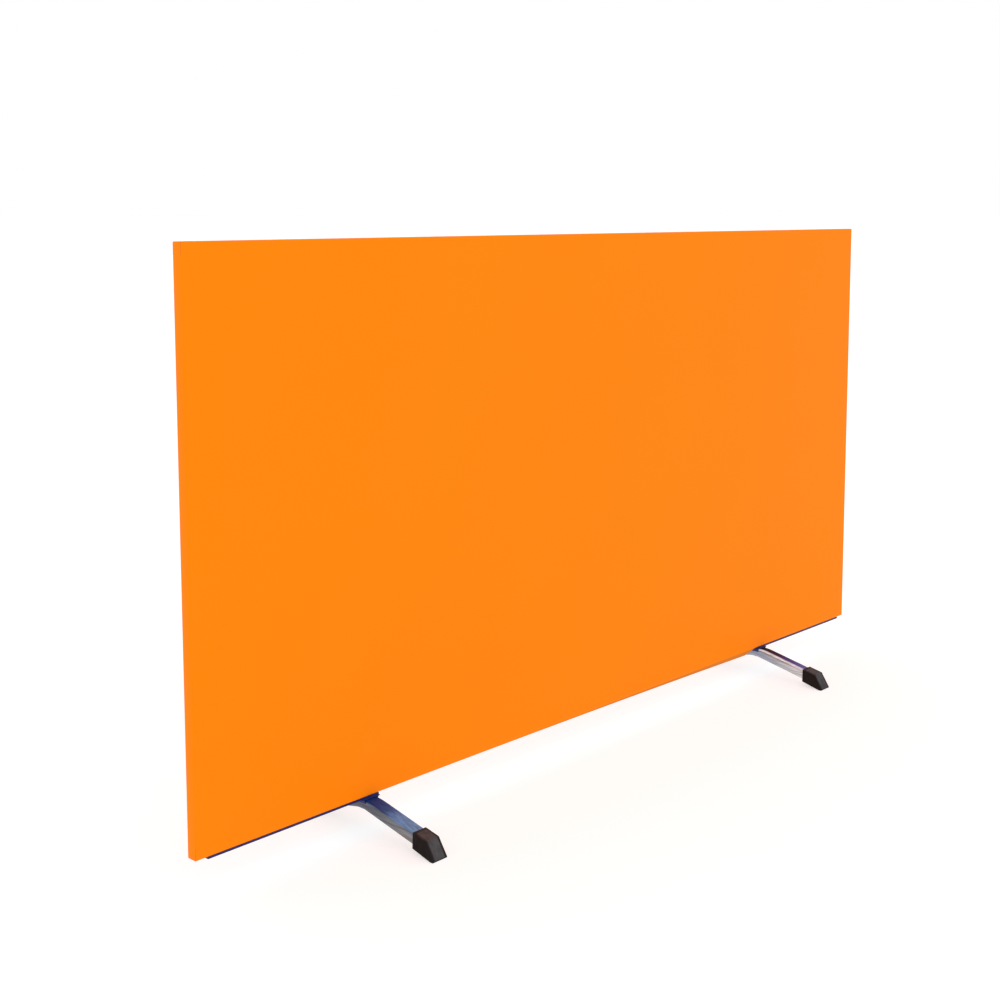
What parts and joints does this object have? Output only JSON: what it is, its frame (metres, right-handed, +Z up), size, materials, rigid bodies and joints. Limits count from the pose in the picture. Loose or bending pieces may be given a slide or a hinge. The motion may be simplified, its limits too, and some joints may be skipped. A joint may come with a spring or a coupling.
{
  "type": "welding curtain screen",
  "caption": "Low free-standing screen: an orange PVC welding curtain stretched over a square-tube frame, on two splayed tube feet with rubber wedge shoes that swivel flat for storage.",
  "frame": {"origin": "on the floor, under the middle of the panel", "axes": "+X along the panel to the right as seen from the front, +Z up, -Y the way the curtain's smooth front faces"},
  "size_m": [2.448, 0.4634, 1.3],
  "materials": {
    "curtain_vinyl": "satin calendered PVC film, opaque orange",
    "navy_powder_coat": "satin navy powder coat on steel",
    "chrome_plate": "bright plated steel tube with fine drawn lines",
    "black_rubber": "matt moulded rubber",
    "black_nylon": "moulded nylon",
    "zinc_steel": "bright zinc-plated steel"
  },
  "bodies": {
    "screen": {"top_rail": "navy_powder_coat", "bottom_rail": "navy_powder_coat", "left_post": "navy_powder_coat", "right_post": "navy_powder_coat", "left_upright": "navy_powder_coat", "right_upright": "navy_powder_coat", "bottom_left_corner_block": "black_nylon", "bottom_left_tee_block": "black_nylon", "bottom_left_rail_screw": "zinc_steel", "bottom_left_post_screw": "zinc_steel", "bottom_left_upright_screw": "zinc_steel", "bottom_right_corner_block": "black_nylon", "bottom_right_tee_block": "black_nylon", "bottom_right_rail_screw": "zinc_steel", "bottom_right_post_screw": "zinc_steel", "bottom_right_upright_screw": "zinc_steel", "top_left_corner_block": "black_nylon", "top_left_tee_block": "black_nylon", "top_left_rail_screw": "zinc_steel", "top_left_post_screw": "zinc_steel", "top_left_upright_screw": "zinc_steel", "top_right_corner_block": "black_nylon", "top_right_tee_block": "black_nylon", "top_right_rail_screw": "zinc_steel", "top_right_post_screw": "zinc_steel", "top_right_upright_screw": "zinc_steel", "curtain": "curtain_vinyl", "curtain_bottom_band": "curtain_vinyl", "curtain_left_band": "curtain_vinyl", "curtain_top_band": "curtain_vinyl", "curtain_right_band": "curtain_vinyl", "left_foot_plate": "navy_powder_coat", "left_plate_screw_1": "zinc_steel", "left_plate_screw_2": "zinc_steel", "left_plate_screw_3": "zinc_steel", "left_pivot_bolt": "zinc_steel", "left_pivot_washer": "zinc_steel", "left_pivot_nut": "zinc_steel", "right_foot_plate": "navy_powder_coat", "right_plate_screw_1": "zinc_steel", "right_plate_screw_2": "zinc_steel", "right_plate_screw_3": "zinc_steel", "right_pivot_bolt": "zinc_steel", "right_pivot_washer": "zinc_steel", "right_pivot_nut": "zinc_steel"},
    "left_foot": {"left_foot_leg": "chrome_plate", "left_foot_saddle": "navy_powder_coat", "left_front_shoe": "black_rubber", "left_rear_shoe": "black_rubber"},
    "right_foot": {"right_foot_leg": "chrome_plate", "right_foot_saddle": "navy_powder_coat", "right_front_shoe": "black_rubber", "right_rear_shoe": "black_rubber"}
  },
  "joints": [
    {"name": "left_foot_swivel", "type": "hinge", "parent": "screen", "child": "left_foot", "pos_m": [-0.765, 0, 0.0643], "axis": [0, 0, 1], "range_deg": [-90, 90]},
    {"name": "right_foot_swivel", "type": "hinge", "parent": "screen", "child": "right_foot", "pos_m": [0.765, 0, 0.0643], "axis": [0, 0, 1], "range_deg": [-90, 90]}
  ]
}
